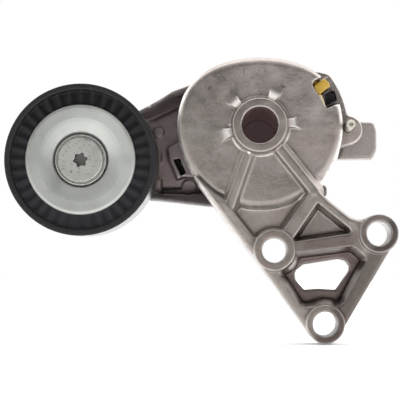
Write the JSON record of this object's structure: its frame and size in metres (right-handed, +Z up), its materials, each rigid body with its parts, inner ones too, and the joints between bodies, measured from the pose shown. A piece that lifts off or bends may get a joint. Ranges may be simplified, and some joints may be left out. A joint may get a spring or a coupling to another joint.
{
  "type": "belt tensioner idler",
  "caption": "Sprung belt tensioner: a cast bracket with a round spring housing carries a pivoting cast arm with an idler pulley on a ball bearing.",
  "frame": {"origin": "on the arm's pivot axis, at the plane of the bracket's mounting faces", "axes": "+Y along the pivot axis from the mounting faces towards the arm, +Z up, +X away from the pulley"},
  "size_m": [0.1675, 0.0671, 0.1239],
  "materials": {
    "cast_aluminium_base": "as-cast, light grey",
    "cast_aluminium_arm": "as-cast, darker grey",
    "spring_steel": "oiled spring wire",
    "yellow_plastic": "moulded, satin",
    "black_plastic": "moulded, satin",
    "bronze_bush": "sintered bronze with a polymer liner",
    "plated_steel": "zinc plated",
    "bolt_steel": "zinc flake coated",
    "pulley_plastic": "glass-filled nylon, black",
    "bearing_steel": "ground steel",
    "cage_steel": "pressed steel",
    "seal_rubber": "moulded rubber",
    "zinc_plate": "pressed steel, zinc plated"
  },
  "bodies": {
    "base": {"base_bracket": "cast_aluminium_base", "torsion_spring": "spring_steel", "spring_seat": "yellow_plastic", "friction_shoe": "black_plastic", "thrust_washer": "black_plastic", "thrust_plate": "plated_steel", "retaining_ring": "spring_steel", "end_cap": "black_plastic"},
    "arm": {"tension_arm": "cast_aluminium_arm", "pivot_bush_front": "bronze_bush", "pivot_bush_rear": "bronze_bush", "pulley_bolt": "bolt_steel", "pulley_spacer": "plated_steel", "front_dust_shield": "zinc_plate", "rear_dust_shield": "zinc_plate", "bearing_inner_ring": "bearing_steel"},
    "pulley": {"pulley_shell": "pulley_plastic", "bearing_outer_ring": "bearing_steel", "bearing_seal_front": "seal_rubber", "bearing_seal_rear": "seal_rubber"},
    "ball_set": {"bearing_balls": "bearing_steel", "bearing_cage": "cage_steel"},
    "pin": {"lock_pin": "plated_steel"}
  },
  "joints": [
    {"name": "arm_pivot", "type": "hinge", "parent": "base", "child": "arm", "pos_m": [0, 0.037, 0], "axis": [0, 1, 0], "range_deg": [0, 21], "stiffness_Nm_per_rad": 23, "springref_deg": -37.24, "deforming": ["torsion_spring"]},
    {"name": "pulley_spin", "type": "hinge", "parent": "arm", "child": "pulley", "pos_m": [-0.0766, 0.016, -0.0143], "axis": [0, 1, 0], "continuous": true},
    {"name": "ball_spin", "type": "hinge", "parent": "arm", "child": "ball_set", "pos_m": [-0.0766, 0.016, -0.0143], "axis": [0, 1, 0], "continuous": true},
    {"name": "lock_pin_slide", "type": "slide", "parent": "base", "child": "pin", "axis": [0, -1, 0], "range_m": [0, 0.03]}
  ],
  "couplings": [
    {"joint": "ball_spin", "follows": "pulley_spin", "ratio": 0.6175}
  ]
}
